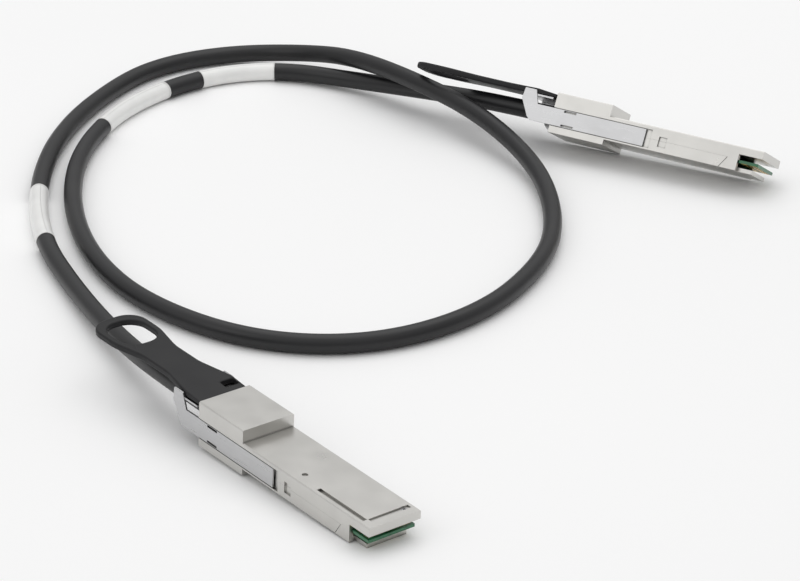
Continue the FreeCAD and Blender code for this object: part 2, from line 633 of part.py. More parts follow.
def cover_screw(tag):
    """The small screw in the nose, with its six-sided drive socket."""
    across = "nose_length - screw_at"
    seat = "(body_height - trough_depth - screw_head_height)"
    head = bar("Cylinder", tag + "_head", "screw_head_radius", "screw_head_height", across, "screw_side", seat)
    shank = bar("Cylinder", tag + "_shank", "screw_shank_radius", "screw_length + screw_head_height / 2", across,
                "screw_side", seat + " - screw_length")
    socket = bar("Prism", tag + "_socket", "socket_radius", "screw_head_height", across, "screw_side",
                 seat + " + screw_head_height / 2")
    return cut(tag, join(tag + "_solid", [head, shank]), socket)


PIECES = (("upper_shell", upper_shell), ("lower_shell", lower_shell), ("latch_slider", latch_slider),
          ("pull_tab", pull_tab), ("paddle_card", paddle_card), ("contact_pads", contact_pads),
          ("memory_chip", memory_chip), ("wire_pairs", wire_pairs), ("wire_clamp", wire_clamp),
          ("crimp_ring", crimp_ring), ("return_springs", return_springs), ("cover_screw", cover_screw))


# ---------------------------------------------------------------- placing
def lie_down(end):
    """The placement that sets a connector's lowest corner on the surface."""
    turn = Rotation(size(end + "_yaw"), size(end + "_pitch"), size(end + "_roll"))
    half = size("shell_width") / 2
    mouth = size("nose_length") - size("mouth_length")
    corners = [(-size("head_length"), half, -size("bump_drop")), (0, half, -size("bump_drop")),
               (mouth - size("joint_setback") - size("joint_slant"), half, 0), (mouth, half, 0),
               (size("nose_length") - size("tongue_setback"), size("tongue_width") / 2, 0)]
    corners += [(x, -y, z) for x, y, z in corners]
    lowest = min(turn.multVec(Vector(*corner)).z for corner in corners)
    return Placement(Vector(size(end + "_x"), size(end + "_y"), -lowest), turn)


nodes = {}
seats = {}
for end in ("near", "far"):
    seats[end] = lie_down(end)
    for piece, make in PIECES:
        name = end + "_" + piece
        nodes[name] = make(name)
doc.recompute()
for name, item in nodes.items():
    item.Placement = seats[name.split("_")[0]].multiply(item.Placement)


# ---------------------------------------------------------------- cable
def cable_points():
    """Corner points of the cable: on each connector's axis, then the free route."""
    start = -size("clamp_back")
    ends = {}
    for end in ("near", "far"):
        ends[end] = [seats[end].multVec(Vector(x, 0, size("cable_height"))) for x in (start, -EXIT_RUN)]
    return ends["near"] + [Vector(*p) for p in CABLE_ROUTE] + ends["far"][::-1]


def rounded_path(points):
    """Straight runs joined by tangent arcs as large as the runs allow, and the arcs' radii."""
    edges, radii = [], []
    at = points[0]
    for before, corner, after in zip(points, points[1:], points[2:]):
        back = (before - corner)
        ahead = (after - corner)
        reach = 0.45 * min(back.Length, ahead.Length)
        back.normalize()
        ahead.normalize()
        half_turn = (math.pi - back.getAngle(ahead)) / 2
        radii.append(reach / math.tan(half_turn))
        start = corner + back * reach
        finish = corner + ahead * reach
        bisector = (back + ahead).normalize()
        middle = corner + bisector * (radii[-1] / math.cos(half_turn) - radii[-1])
        edges.append(Part.LineSegment(at, start).toShape())
        edges.append(Part.Arc(start, middle, finish).toShape())
        at = finish
    edges.append(Part.LineSegment(at, points[-1]).toShape())
    return edges, radii


def section(edge, radius):
    """The many-sided section of a bar at the start of an edge, with a flat side down."""
    heading = edge.tangentAt(edge.FirstParameter)
    across = Vector(0, 0, 1).cross(heading).normalize()
    up = heading.cross(across)
    sides = size("cable_sides")
    ring = [edge.valueAt(edge.FirstParameter) + across * p.x + up * p.y
            for p in polygon(radius, sides, math.pi / sides)]
    return Part.makePolygon(ring + ring[:1])


def tube(edges, radius):
    """A bar along joined edges: straight on each run and turned about the centre of each arc."""
    ring = section(edges[0], radius)
    faces = [Part.Face(ring)]
    for edge in edges:
        start, finish = edge.valueAt(edge.FirstParameter), edge.valueAt(edge.LastParameter)
        if isinstance(edge.Curve, Part.Line):
            side = ring.extrude(finish - start)
            ring.translate(finish - start)
        else:
            turn = math.degrees(edge.LastParameter - edge.FirstParameter)
            side = ring.revolve(edge.Curve.Center, edge.Curve.Axis, turn)
            ring.rotate(edge.Curve.Center, edge.Curve.Axis, turn)
        faces += side.Faces
    faces.append(Part.Face(ring))
    return solid_of(faces)


def stretch(edges, start, length):
    """The part of a path between two distances along it."""
    parts, passed = [], 0.0
    for edge in edges:
        low = max(start - passed, 0.0)
        high = min(start + length - passed, edge.Length)
        if high - low > SHORTEST_RUN:
            first, last = edge.getParameterByLength(low), edge.getParameterByLength(high)
            parts.append(edge.Curve.toShape(first, last))
        passed += edge.Length
    return parts


def sleeve(edges):
    """A wrap label round a stretch of the cable."""
    inner = size("cable_radius") + size("fit_gap")
    corner = math.cos(math.pi / size("cable_sides"))
    return tube(edges, (inner + size("label_thickness")) / corner).cut(tube(edges, inner / corner))


def add_solid(name, shape):
    item = doc.addObject("Part::Feature", name)
    item.Shape = shape
    nodes[name] = item


path_edges, path_radii = rounded_path(cable_points())
add_solid("cable", tube(path_edges, size("cable_radius")))
# Name of each wrap label, its distance from the near end of the cable and its length.
LABELS = (("side_label", 161.5, 42.0), ("corner_label", 926.5, 42.0), ("top_label", 985.0, 29.5))
for label, distance, label_length in LABELS:
    add_solid(label, sleeve(stretch(path_edges, distance, label_length)))

# ---------------------------------------------------------------- checks and export
doc.recompute()
broken = [o.Name for o in doc.Objects if "Invalid" in o.State or "Error" in o.State]
for name, item in nodes.items():
    item.Label = name
    if item.Shape.isNull() or not item.Shape.isValid():
        broken.append(name)
if broken:
    raise RuntimeError("not sound: " + ", ".join(broken))

length = sum(edge.Length for edge in path_edges)
sides = size("cable_sides")
area = sides / 2 * math.sin(2 * math.pi / sides) * size("cable_radius") ** 2
print("cable length %.1f, volume / (section x length) %.5f" % (length, nodes["cable"].Shape.Volume / area / length))
print("bend radii: " + " ".join("%.0f" % radius for radius in path_radii))
for name, item in nodes.items():
    item.Shape.exportStep("parts/%s.step" % name)
print("%d nodes" % len(nodes))
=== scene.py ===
"""A direct attach copper cable: a loop of round black cable with a latching metal plug at each end."""
import math

import bpy
from bpy.props import FloatProperty, FloatVectorProperty, PointerProperty
from mathutils import Matrix, Vector


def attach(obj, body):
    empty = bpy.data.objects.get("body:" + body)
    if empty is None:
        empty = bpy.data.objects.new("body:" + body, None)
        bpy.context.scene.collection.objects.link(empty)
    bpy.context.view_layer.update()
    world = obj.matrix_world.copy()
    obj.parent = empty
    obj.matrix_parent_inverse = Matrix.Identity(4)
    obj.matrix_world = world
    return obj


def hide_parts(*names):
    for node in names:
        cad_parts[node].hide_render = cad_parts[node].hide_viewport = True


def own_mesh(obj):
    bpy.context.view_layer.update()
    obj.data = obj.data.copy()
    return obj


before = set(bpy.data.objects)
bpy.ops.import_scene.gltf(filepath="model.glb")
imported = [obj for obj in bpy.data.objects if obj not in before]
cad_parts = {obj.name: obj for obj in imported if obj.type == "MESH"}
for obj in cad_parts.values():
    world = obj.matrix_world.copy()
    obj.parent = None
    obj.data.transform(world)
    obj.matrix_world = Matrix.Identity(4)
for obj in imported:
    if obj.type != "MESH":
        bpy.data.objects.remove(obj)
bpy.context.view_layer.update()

bl_info = {
    "name": "Direct Attach Cable",
    "version": (1, 0, 0),
    "blender": (4, 5, 0),
    "location": "View3D > Sidebar > Cable",
    "description": "Dresses a direct attach cable: cable, wrap labels, plugs, pull tabs and studio",
    "category": "Object",
}

ENDS = ("near", "far")
ROOT = "cable_and_shells"

# Corner points of the cable, in metres, from inside the near head to inside the far one.
ROUTE = [
    (-0.06518, -0.10748, 0.00856), (-0.08538, -0.08272, 0.01009), (-0.1047, -0.0468, 0.0065),
    (-0.1225, -0.0038, 0.0033), (-0.1383, 0.0388, 0.0033), (-0.1442, 0.0883, 0.0033),
    (-0.1400, 0.1373, 0.0033), (-0.1230, 0.1829, 0.0033), (-0.1064, 0.2034, 0.0033),
    (-0.0824, 0.2144, 0.0034), (-0.0550, 0.2077, 0.0065), (-0.0383, 0.1883, 0.0122),
    (-0.0187, 0.1648, 0.0140), (0.0073, 0.1383, 0.0110), (0.0270, 0.1047, 0.0050),
    (0.0323, 0.0634, 0.0033), (0.0273, 0.0254, 0.0033), (0.0063, -0.0164, 0.0033),
    (-0.0277, -0.0404, 0.0033), (-0.0658, -0.0386, 0.0033), (-0.1005, -0.0120, 0.0033),
    (-0.1210, 0.0248, 0.0033), (-0.1316, 0.0703, 0.0033), (-0.1322, 0.1163, 0.0033),
    (-0.1207, 0.1573, 0.0033), (-0.0957, 0.1883, 0.0033), (-0.0657, 0.1983, 0.0033),
    (-0.0347, 0.1843, 0.0043), (-0.0077, 0.1633, 0.0086), (0.01564, 0.14473, 0.01197),
    (0.04386, 0.12966, 0.01116),
]
CABLE_LENGTH = 1.1455
CURVE_STEPS = 12      # straight pieces between two corner points of the cable
CABLE_ROUNDNESS = 10  # steps that round its section

# Name of each wrap label, its distance from the near end of the cable and its length.
LABELS = (("side_label", 0.1615, 0.042), ("corner_label", 0.9265, 0.042), ("top_label", 0.985, 0.0295))
LABEL_GAP = 0.00002  # jacket to film
LABEL_STEPS = 24     # sections along a label
FILM_SIDES = 56      # flat sides once round the cable
FILM_LAP = 5         # sides by which the film lies over its own start
FILM_RISE = 1.5      # sides over which the film rises onto its start
FILM_LIFT = 0.45     # height of that step, in film thicknesses
SEAM_ANGLE = math.radians(70)  # where the film's edge lies, round from the cable's side

# Where each connector lies: its shoulder in metres, then its heading, nose-down tilt and roll in degrees.
PLUGS = {"near": ((-0.05713, -0.11735, 0.002639), (-50.8, 2.75, 0.0)),
         "far": ((0.05397, 0.12125, 0.006243), (-28.1, 1.45, -30.1))}

# The return springs lie to the left and right in a head: back, across and up from the shoulder's underside.
SPRING_BACK = -0.012
SPRING_SIDES = (("left", 0.006715), ("right", -0.006715))
SPRING_UP = 0.003
SPRING_TURNS = 4      # open turns between the closed ones
CLOSED_PITCH = 1.02   # pitch of a closed turn, in wire thicknesses
TURN_STEPS = 24       # sections in a turn
WIRE_SIDES = 8        # flat sides of the wire

# Rounded edges: their corners and level faces are joined first.
SHARP_ANGLE = math.radians(35)   # edges that turn by more are rounded
LEVEL_ANGLE = math.radians(0.5)  # faces that turn by less are one face
SAME_CORNER = 0.000002           # corners that lie closer are one corner
ROUND_STEPS = 3                  # strips that round an edge
LARGE_FACE_SHARE = 100           # large faces alone set the shading beside a rounded edge
EQUAL_AREAS = 0.01               # areas that differ by less count as equal

# Painted shade in corners of the metal: the colour is darkened where less light reaches.
PAINTED_SHADE_LEVEL = 0.35  # brightness of the painted shade in the deepest corners
CLOSED_FACE = 0.35  # exposure at which a surface is darkest
OPEN_FACE = 0.80    # exposure from which no shade is painted


# Name, place, side in metres and power in watts of each lamp, which faces the middle of the floor.
LAMPS = (("Overhead Softbox", (0.10, 0.45, 1.15), 1.2, 3.6), ("Left Softbox", (-1.00, -0.45, 0.70), 0.7, 1.2))
SKY_LOW = 0.27    # strength of the sky at and below the horizon
SKY_HIGH = 1.0    # its strength overhead

CAMERA_ELEVATION = math.radians(24.384)
CAMERA_ROLL = math.radians(0.842)
CAMERA_DISTANCE = 1.1129
CAMERA_TARGET = Vector((-0.01973, 0.00835, 0.0))
CAMERA_SENSOR = 36.0
CAMERA_LENS = 155.85
CAMERA_CLIP = 0.01


# ------------------------------------------------------------------ sizes and colours
class CableSizes(bpy.types.PropertyGroup):
    """Sizes that a user would change."""

    diameter: FloatProperty(name="Diameter", description="Outer diameter of the cable", default=0.0063,
                            unit="LENGTH")
    label_thickness: FloatProperty(name="Label Film", description="Thickness of a wrap label",
                                   default=0.00012, unit="LENGTH")
    edge_round: FloatProperty(name="Edge Round", description="Round of the edges of cast and sheet metal",
                              default=0.00014, unit="LENGTH")
    tab_round: FloatProperty(name="Tab Round", description="Round of the edges of the moulded pull tabs",
                             default=0.0006, unit="LENGTH")
    spring_length: FloatProperty(name="Spring Length", description="Length of a return spring at rest",
                                 default=0.006, unit="LENGTH")
    spring_radius: FloatProperty(name="Spring Radius", description="Mean radius of a return spring",
                                 default=0.0006, unit="LENGTH")
    spring_wire: FloatProperty(name="Spring Wire", description="Thickness of the spring's wire",
                               default=0.00024, unit="LENGTH")


class CableColours(bpy.types.PropertyGroup):
    """Colours that a user would change."""

    jacket: FloatVectorProperty(name="Jacket", description="Colour of the cable's jacket",
                                default=(0.011, 0.011, 0.012), subtype="COLOR", min=0, max=1)
    tab: FloatVectorProperty(name="Pull Tab", description="Colour of the moulded pull tabs",
                             default=(0.010, 0.010, 0.011), subtype="COLOR", min=0, max=1)
    plating: FloatVectorProperty(name="Plating", description="Colour of the nickel-plated shells",
                                 default=(0.61, 0.60, 0.575), subtype="COLOR", min=0, max=1)
    sheet: FloatVectorProperty(name="Sheet", description="Colour of the stainless slider",
                               default=(0.55, 0.55, 0.555), subtype="COLOR", min=0, max=1)
    film: FloatVectorProperty(name="Label", description="Colour of the wrap labels",
                              default=(0.86, 0.86, 0.845), subtype="COLOR", min=0, max=1)
    floor: FloatVectorProperty(name="Floor", description="Colour of the studio floor",
                               default=(0.98, 0.98, 0.98), subtype="COLOR", min=0, max=1)


def sizes():
    """The scene's sizes."""
    return bpy.context.scene.cable_sizes


def colours():
    """The scene's colours."""
    return bpy.context.scene.cable_colours


# ------------------------------------------------------------------ shader groups
def new_group(name, inputs, outputs):
    """An empty shader node group with float inputs (name, value) and named float outputs."""
    group = bpy.data.node_groups.new(name, "ShaderNodeTree")
    for label, value in inputs:
        socket = group.interface.new_socket(name=label, in_out="INPUT", socket_type="NodeSocketFloat")
        socket.default_value = value
    for label in outputs:
        group.interface.new_socket(name=label, in_out="OUTPUT", socket_type="NodeSocketFloat")
    return group


def add(tree, kind, place, **settings):
    """A node at a place in the editor, with some of its settings."""
    node = tree.nodes.new(kind)
    node.location = place
    for key, value in settings.items():
        setattr(node, key, value)
    return node


def wire(tree, *links):
    """Joins pairs of sockets, an output and an input."""
    for source, target in links:
        tree.links.new(source, target)


def build_grain_group():
    """Fine moulded or cast grain: a height for a bump and a mask from 0 to 1."""
    group = new_group("Fine Grain", [("Grain Size", 2500.0), ("Patch Size", 60.0)],
                      ["Height", "Patches"])
    start = add(group, "NodeGroupInput", (-600, 0))
    end = add(group, "NodeGroupOutput", (400, 0))
    place = add(group, "ShaderNodeTexCoord", (-600, -200))
    grain = add(group, "ShaderNodeTexNoise", (-300, 100))
    grain.inputs["Detail"].default_value = 3.0
    patch = add(group, "ShaderNodeTexNoise", (-300, -200))
    patch.inputs["Detail"].default_value = 1.5
    spread = add(group, "ShaderNodeMapRange", (0, -200))
    spread.inputs["From Min"].default_value = 0.25
    spread.inputs["From Max"].default_value = 0.75
    wire(group, (place.outputs["Object"], grain.inputs["Vector"]),
         (place.outputs["Object"], patch.inputs["Vector"]),
         (start.outputs["Grain Size"], grain.inputs["Scale"]),
         (start.outputs["Patch Size"], patch.inputs["Scale"]),
         (patch.outputs["Fac"], spread.inputs["Value"]),
         (grain.outputs["Fac"], end.inputs["Height"]), (spread.outputs["Result"], end.inputs["Patches"]))
    return group


def build_brush_group():
    """Long fine lines along one direction in the floor plane: Turn is that direction in radians."""
    group = new_group("Drawn Lines", [("Line Size", 1800.0), ("Turn", 0.0), ("Stretch", 0.03)], ["Lines"])
    start = add(group, "NodeGroupInput", (-900, 0))
    end = add(group, "NodeGroupOutput", (300, 0))
    place = add(group, "ShaderNodeTexCoord", (-900, -200))
    turn = add(group, "ShaderNodeVectorRotate", (-650, 0), rotation_type="Z_AXIS")
    squeeze = add(group, "ShaderNodeVectorMath", (-400, 0), operation="MULTIPLY")
    factors = add(group, "ShaderNodeCombineXYZ", (-650, -250))
    factors.inputs["Y"].default_value = 1.0
    factors.inputs["Z"].default_value = 1.0
    lines = add(group, "ShaderNodeTexNoise", (-150, 0))
    lines.inputs["Detail"].default_value = 4.0
    wire(group, (place.outputs["Object"], turn.inputs["Vector"]),
         (start.outputs["Turn"], turn.inputs["Angle"]),
         (start.outputs["Stretch"], factors.inputs["X"]), (turn.outputs["Vector"], squeeze.inputs[0]),
         (factors.outputs["Vector"], squeeze.inputs[1]),
         (squeeze.outputs["Vector"], lines.inputs["Vector"]),
         (start.outputs["Line Size"], lines.inputs["Scale"]), (lines.outputs["Fac"], end.inputs["Lines"]))
    return group


def build_handling_group():
    """Marks of handling on metal: soft smudges as a mask from 0 to 1."""
    group = new_group("Handling Marks", [("Smudge Size", 160.0)], ["Smudges"])
    start = add(group, "NodeGroupInput", (-600, -100))
    end = add(group, "NodeGroupOutput", (300, 0))
    place = add(group, "ShaderNodeTexCoord", (-600, 100))
    smudge = add(group, "ShaderNodeTexNoise", (-300, 0))
    smudge.inputs["Detail"].default_value = 2.5
    smudge.inputs["Distortion"].default_value = 0.4
    soften = add(group, "ShaderNodeMapRange", (0, 0), interpolation_type="SMOOTHSTEP")
    soften.inputs["From Min"].default_value = 0.42
    soften.inputs["From Max"].default_value = 0.68
    wire(group, (place.outputs["Object"], smudge.inputs["Vector"]),
         (start.outputs["Smudge Size"], smudge.inputs["Scale"]),
         (smudge.outputs["Fac"], soften.inputs["Value"]), (soften.outputs["Result"], end.inputs["Smudges"]))
    return group


BUILDERS = {"Fine Grain": build_grain_group, "Drawn Lines": build_brush_group,
            "Handling Marks": build_handling_group}
GROUPS = {}


def group_node(tree, name, place, **values):
    """Places a shader group in a material with its own values; the group is built at its first use."""
    if name not in GROUPS:
        GROUPS[name] = BUILDERS[name]()
    node = add(tree, "ShaderNodeGroup", place, node_tree=GROUPS[name])
    for label, value in values.items():
        node.inputs[label.replace("_", " ")].default_value = value
    return node


# ------------------------------------------------------------------ materials
def start_material(name, colour, metallic=0.0, **shader):
    """A material whose plain values sit on the shader's own sockets."""
    item = bpy.data.materials.new(name)
    item.use_nodes = True
    tree = item.node_tree
    bsdf = tree.nodes["Principled BSDF"]
    bsdf.inputs["Base Color"].default_value = (*colour, 1.0)
    bsdf.inputs["Metallic"].default_value = metallic
    for label, value in shader.items():
        bsdf.inputs[label.replace("_", " ")].default_value = value
    return item, tree, bsdf


def vary_colour(tree, bsdf, mask, colour, low, high):
    """Base colour between two brightnesses of one colour, by a mask."""
    mix = add(tree, "ShaderNodeMix", (-300, 300), data_type="RGBA")
    mix.inputs["A"].default_value = (*[min(1.0, c * low) for c in colour], 1.0)
    mix.inputs["B"].default_value = (*[min(1.0, c * high) for c in colour], 1.0)
    wire(tree, (mask, mix.inputs["Factor"]), (mix.outputs["Result"], bsdf.inputs["Base Color"]))


def vary_roughness(tree, bsdf, mask, low, high):
    """Roughness between two levels, by a mask."""
    span = add(tree, "ShaderNodeMapRange", (-300, 0))
    span.inputs["To Min"].default_value = low
    span.inputs["To Max"].default_value = high
    wire(tree, (mask, span.inputs["Value"]), (span.outputs["Result"], bsdf.inputs["Roughness"]))


def raise_bump(tree, bsdf, height, strength, distance):
    """A fine relief of a height over the surface."""
    bump = add(tree, "ShaderNodeBump", (-300, -250))
    bump.inputs["Strength"].default_value = strength
    bump.inputs["Distance"].default_value = distance
    wire(tree, (height, bump.inputs["Height"]), (bump.outputs["Normal"], bsdf.inputs["Normal"]))


def grained(name, colour, rough, shade=(0.9, 1.1), grain=2500.0, patch=60.0, bump=0.2, depth=0.00002,
            metallic=0.0, **shader):
    """A cast or moulded surface: fine grain, soft patches of gloss and colour."""
    item, tree, bsdf = start_material(name, colour, metallic, **shader)
    grain_node = group_node(tree, "Fine Grain", (-600, 0), Grain_Size=grain, Patch_Size=patch)
    vary_colour(tree, bsdf, grain_node.outputs["Patches"], colour, *shade)
    vary_roughness(tree, bsdf, grain_node.outputs["Patches"], *rough)
    raise_bump(tree, bsdf, grain_node.outputs["Height"], bump, depth)
    return item


def drawn(name, colour, rough, turn, shade=(0.92, 1.06), size=1800.0, bump=0.15, depth=0.00001,
          metallic=1.0, **shader):
    """A rolled or drawn surface: long fine lines along one heading."""
    item, tree, bsdf = start_material(name, colour, metallic, **shader)
    lines = group_node(tree, "Drawn Lines", (-600, 0), Line_Size=size, Turn=-turn)
    vary_colour(tree, bsdf, lines.outputs["Lines"], colour, *shade)
    vary_roughness(tree, bsdf, lines.outputs["Lines"], *rough)
    raise_bump(tree, bsdf, lines.outputs["Lines"], bump, depth)
    return item


def handled(item, smudge=0.03):
    """Adds smudges to the roughness of a metal that hands have touched."""
    tree = item.node_tree
    roughness = tree.nodes["Principled BSDF"].inputs["Roughness"]
    marks = group_node(tree, "Handling Marks", (-600, -450))
    more = add(tree, "ShaderNodeMath", (-150, -450), operation="MULTIPLY_ADD")
    more.inputs[1].default_value = smudge
    wire(tree, (marks.outputs["Smudges"], more.inputs[0]), (roughness.links[0].from_socket, more.inputs[2]))
    wire(tree, (more.outputs["Value"], roughness))
    return item


def paint_corner_shade(item, reach):
    """Paints shade into the base colour: darker in grooves, seams and corners, as far as reach from them."""
    tree = item.node_tree
    colour = tree.nodes["Principled BSDF"].inputs["Base Color"]
    # painted shade: ambient occlusion darkens the base colour where corners and seams would be shaded
    near = add(tree, "ShaderNodeAmbientOcclusion", (-600, 600), samples=8)
    near.inputs["Distance"].default_value = reach
    painted_shade = add(tree, "ShaderNodeMapRange", (-400, 600))
    painted_shade.inputs["From Min"].default_value = CLOSED_FACE
    painted_shade.inputs["From Max"].default_value = OPEN_FACE
    painted_shade.inputs["To Min"].default_value = PAINTED_SHADE_LEVEL
    blend = add(tree, "ShaderNodeMix", (-150, 500), data_type="RGBA", blend_type="MULTIPLY")
    blend.inputs["Factor"].default_value = 1.0
    wire(tree, (near.outputs["AO"], painted_shade.inputs["Value"]),
         (colour.links[0].from_socket, blend.inputs["A"]),
         (painted_shade.outputs["Result"], blend.inputs["B"]), (blend.outputs["Result"], colour))
    return item


def plug_place(end):
    """The placement of one connector's own frame: +X to its nose, +Z up from its underside."""
    spot, (yaw, pitch, roll) = PLUGS[end]
    turn = Matrix.Rotation(math.radians(yaw), 4, "Z") @ Matrix.Rotation(math.radians(pitch), 4, "Y")
    return Matrix.Translation(spot) @ turn @ Matrix.Rotation(math.radians(roll), 4, "X")


def dress(name, item, edge=0.0, flat=True):
    """Gives a carried-over piece its material and rounds its edges; flat joins its level faces first."""
    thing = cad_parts[name]
    thing.data.materials.clear()
    thing.data.materials.append(item)
    if edge:
        weld = thing.modifiers.new("Join Corners", "WELD")
        weld.merge_threshold = SAME_CORNER
        if flat:
            flats = thing.modifiers.new("Join Flats", "DECIMATE")
            flats.decimate_type = "DISSOLVE"
            flats.angle_limit = LEVEL_ANGLE
        bevel = thing.modifiers.new("Edge Round", "BEVEL")
        bevel.width = edge
        bevel.segments = ROUND_STEPS
        bevel.limit_method = "ANGLE"
        bevel.angle_limit = SHARP_ANGLE
        bevel.use_clamp_overlap = True
        bevel.harden_normals = not flat
        if flat:
            even = thing.modifiers.new("Even Shading", "WEIGHTED_NORMAL")
            even.mode = "FACE_AREA"
            even.weight = LARGE_FACE_SHARE
            even.thresh = EQUAL_AREAS


# ------------------------------------------------------------------ cable and labels
def spline_curve(name, points):
    """A smooth open curve whose control points are the given ones."""
    data = bpy.data.curves.new(name, "CURVE")
    data.dimensions = "3D"
    spline = data.splines.new("NURBS")
    spline.points.add(len(points) - 1)
    for item, point in zip(spline.points, points):
        item.co = (*point, 1.0)
    spline.order_u = 3
    spline.use_endpoint_u = True
    data.resolution_u = CURVE_STEPS
    thing = bpy.data.objects.new(name, data)
    bpy.context.scene.collection.objects.link(thing)
    return thing


def centreline(curve):
    """The points of a curve with no thickness."""
    bpy.context.view_layer.update()
    mesh = bpy.data.meshes.new_from_object(curve)
    points = [v.co.copy() for v in mesh.vertices]
    bpy.data.meshes.remove(mesh)
    return points


def part_of_line(points, start, length, steps):
    """Evenly spaced places along a line of points, with the heading at each."""
    reach = [0.0]
    for a, b in zip(points, points[1:]):
        reach.append(reach[-1] + (b - a).length)
    places = []
    for i in range(steps + 1):
        want = start + length * i / steps
        k = max(j for j in range(len(reach) - 1) if reach[j] <= want)
        share = (want - reach[k]) / (reach[k + 1] - reach[k])
        places.append((points[k].lerp(points[k + 1], share), (points[k + 1] - points[k]).normalized()))
    return places


def mesh_object(name, verts, faces, material):
    """A smooth-shaded object of its own mesh and one material."""
    data = bpy.data.meshes.new(name)
    data.from_pydata([tuple(v) for v in verts], [], faces)
    data.update()
    for polygon in data.polygons:
        polygon.use_smooth = True
    data.materials.append(material)
    thing = bpy.data.objects.new(name, data)
    bpy.context.scene.collection.objects.link(thing)
    return thing


def wrapped_film(name, places, radius, film, material):
    """A label wrapped once round the cable, whose outer end lies over its start as a low step."""
    sections = []
    for point, heading in places:
        across = Vector((0, 0, 1)).cross(heading).normalized()
        up = heading.cross(across)
        outer, inner = [], []
        for k in range(FILM_SIDES + FILM_LAP + 1):
            angle = SEAM_ANGLE + 2 * math.pi * k / FILM_SIDES
            lift = film * FILM_LIFT * min(1.0, max(0.0, (k - FILM_SIDES + FILM_RISE) / FILM_RISE))
            way = across * math.cos(angle) + up * math.sin(angle)
            outer.append(point + way * (radius + film / 2 + lift))
            inner.append(point + way * (radius + lift))
        sections.append((outer, inner))
    verts, faces = [], []
    count = FILM_SIDES + FILM_LAP + 1
    for outer, inner in sections:
        verts += outer + inner
    rows = len(sections)
    for row in range(rows - 1):
        a, b = row * 2 * count, (row + 1) * 2 * count
        for k in range(count - 1):
            faces.append((a + k, a + k + 1, b + k + 1, b + k))
            faces.append((a + count + k + 1, a + count + k, b + count + k, b + count + k + 1))
        faces.append((a + count, a, b, b + count))
        faces.append((a + count - 1, a + 2 * count - 1, b + 2 * count - 1, b + count - 1))
    for base, flip in ((0, False), ((rows - 1) * 2 * count, True)):
        for k in range(count - 1):
            quad = (base + k + 1, base + k, base + count + k, base + count + k + 1)
            faces.append(quad[::-1] if flip else quad)
    return mesh_object(name, verts, faces, material)


class CABLE_OT_jacket(bpy.types.Operator):
    """Lays the cable along its route"""

    bl_idname = "cable.jacket"
    bl_label = "Cable"

    def execute(self, context):
        jacket = grained("Cable Jacket", colours().jacket, (0.34, 0.46), shade=(0.85, 1.25), grain=1400.0,
                         patch=45.0, bump=0.25, depth=0.00004, Specular_IOR_Level=0.45)
        cable = spline_curve("black_cable", ROUTE)
        context.scene["cable_line"] = [tuple(p) for p in centreline(cable)]
        cable.data.bevel_depth = sizes().diameter / 2
        cable.data.bevel_resolution = CABLE_ROUNDNESS
        cable.data.use_fill_caps = True
        cable.data.materials.append(jacket)
        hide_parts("cable")
        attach(cable, ROOT)
        return {"FINISHED"}


class CABLE_OT_labels(bpy.types.Operator):
    bl_idname = "cable.labels"
    bl_label = "Wrap Labels"

    def execute(self, context):
        film = grained("Label Film", colours().film, (0.30, 0.42), shade=(0.94, 1.04), grain=900.0,
                       patch=120.0, bump=0.08, depth=0.00001, Coat_Weight=0.25, Coat_Roughness=0.2)
        line = [Vector(p) for p in context.scene["cable_line"]]
        whole = sum((b - a).length for a, b in zip(line, line[1:]))
        for name, start, length in LABELS:
            places = part_of_line(line, start * whole / CABLE_LENGTH, length, LABEL_STEPS)
            wrap = wrapped_film(name + "_wrap", places, sizes().diameter / 2 + LABEL_GAP,
                                sizes().label_thickness, film)
            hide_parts(name)
            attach(wrap, ROOT)
        del context.scene["cable_line"]
        return {"FINISHED"}


# ------------------------------------------------------------------ plugs
class CABLE_OT_shells(bpy.types.Operator):
    """Plates the cast shells"""

    bl_idname = "cable.shells"
    bl_label = "Shells"

    def execute(self, context):
        plating = handled(grained("Nickel Plating", colours().plating, (0.27, 0.32), shade=(0.95, 1.03),
                                  grain=1500.0, patch=120.0, bump=0.03, depth=0.000008, metallic=1.0))
        # painted shade in the plating's corners, seams and recesses
        paint_corner_shade(plating, 0.0012)
        for end in ENDS:
            dress(end + "_upper_shell", plating, sizes().edge_round)
            dress(end + "_lower_shell", plating, sizes().edge_round)
        return {"FINISHED"}


def coil_mesh(name, place, length, radius, wire_size, material):
    """A compression spring along the place's X axis, with a closed turn at each end."""
    closed_rise = CLOSED_PITCH * wire_size
    open_rise = (length - wire_size - 2 * closed_rise) / SPRING_TURNS
    verts, faces = [], []
    rows = (SPRING_TURNS + 2) * TURN_STEPS + 1
    along = wire_size / 2
    for row in range(rows):
        turn = 2 * math.pi * row / TURN_STEPS
        outward = Vector((0, math.cos(turn), math.sin(turn)))
        for k in range(WIRE_SIDES):
            angle = 2 * math.pi * k / WIRE_SIDES
            spot = Vector((along + wire_size / 2 * math.sin(angle), 0, 0))
            verts.append(place @ (spot + outward * (radius + wire_size / 2 * math.cos(angle))))
        closed = row < TURN_STEPS or row >= rows - 1 - TURN_STEPS
        along += (closed_rise if closed else open_rise) / TURN_STEPS
    for row in range(rows - 1):
        for k in range(WIRE_SIDES):
            a = row * WIRE_SIDES + k
            b = row * WIRE_SIDES + (k + 1) % WIRE_SIDES
            faces.append((a, b, b + WIRE_SIDES, a + WIRE_SIDES))
    faces.append(tuple(range(WIRE_SIDES))[::-1])
    faces.append(tuple(range((rows - 1) * WIRE_SIDES, rows * WIRE_SIDES)))
    return mesh_object(name, verts, faces, material)


